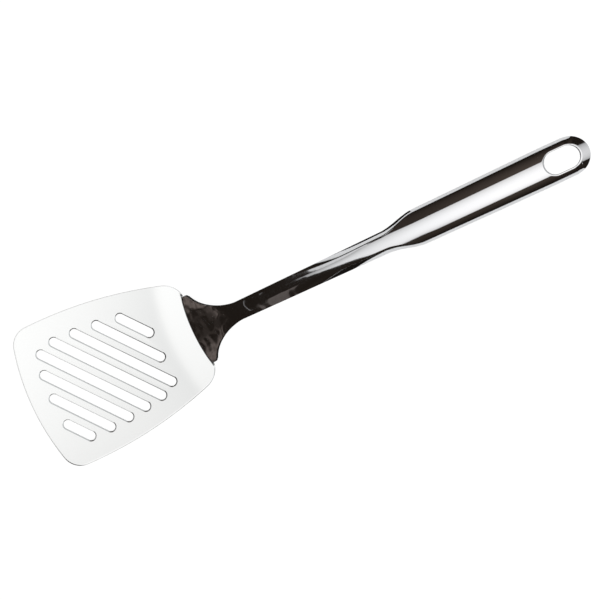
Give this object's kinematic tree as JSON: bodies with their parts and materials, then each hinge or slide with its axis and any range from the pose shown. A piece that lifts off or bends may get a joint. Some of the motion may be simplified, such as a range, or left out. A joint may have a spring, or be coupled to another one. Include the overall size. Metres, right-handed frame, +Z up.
{
  "type": "fish spatula",
  "caption": "Slotted steel fish spatula: a wide blade with diagonal slots, spot-welded to an arched channel handle with a round end and a hanging hole.",
  "frame": {"origin": "on the underside of the flat blade, in the middle of the land between the two middle slots, 44 mm behind the front edge on the blade's centre line", "axes": "+X along the length, from the blade to the tip of the handle; +Y across the blade; +Z up, square to the flat blade"},
  "size_m": [0.3478, 0.0874, 0.0713],
  "materials": {
    "blade_steel": "polished 18/10 stainless steel sheet, light use haze",
    "handle_steel": "mirror-polished 18/10 stainless steel pressing",
    "weld_steel": "resistance-weld nugget, bare steel"
  },
  "bodies": {
    "root": {"blade": "blade_steel", "handle": "handle_steel", "spot_welds": "weld_steel"}
  },
  "joints": []
}
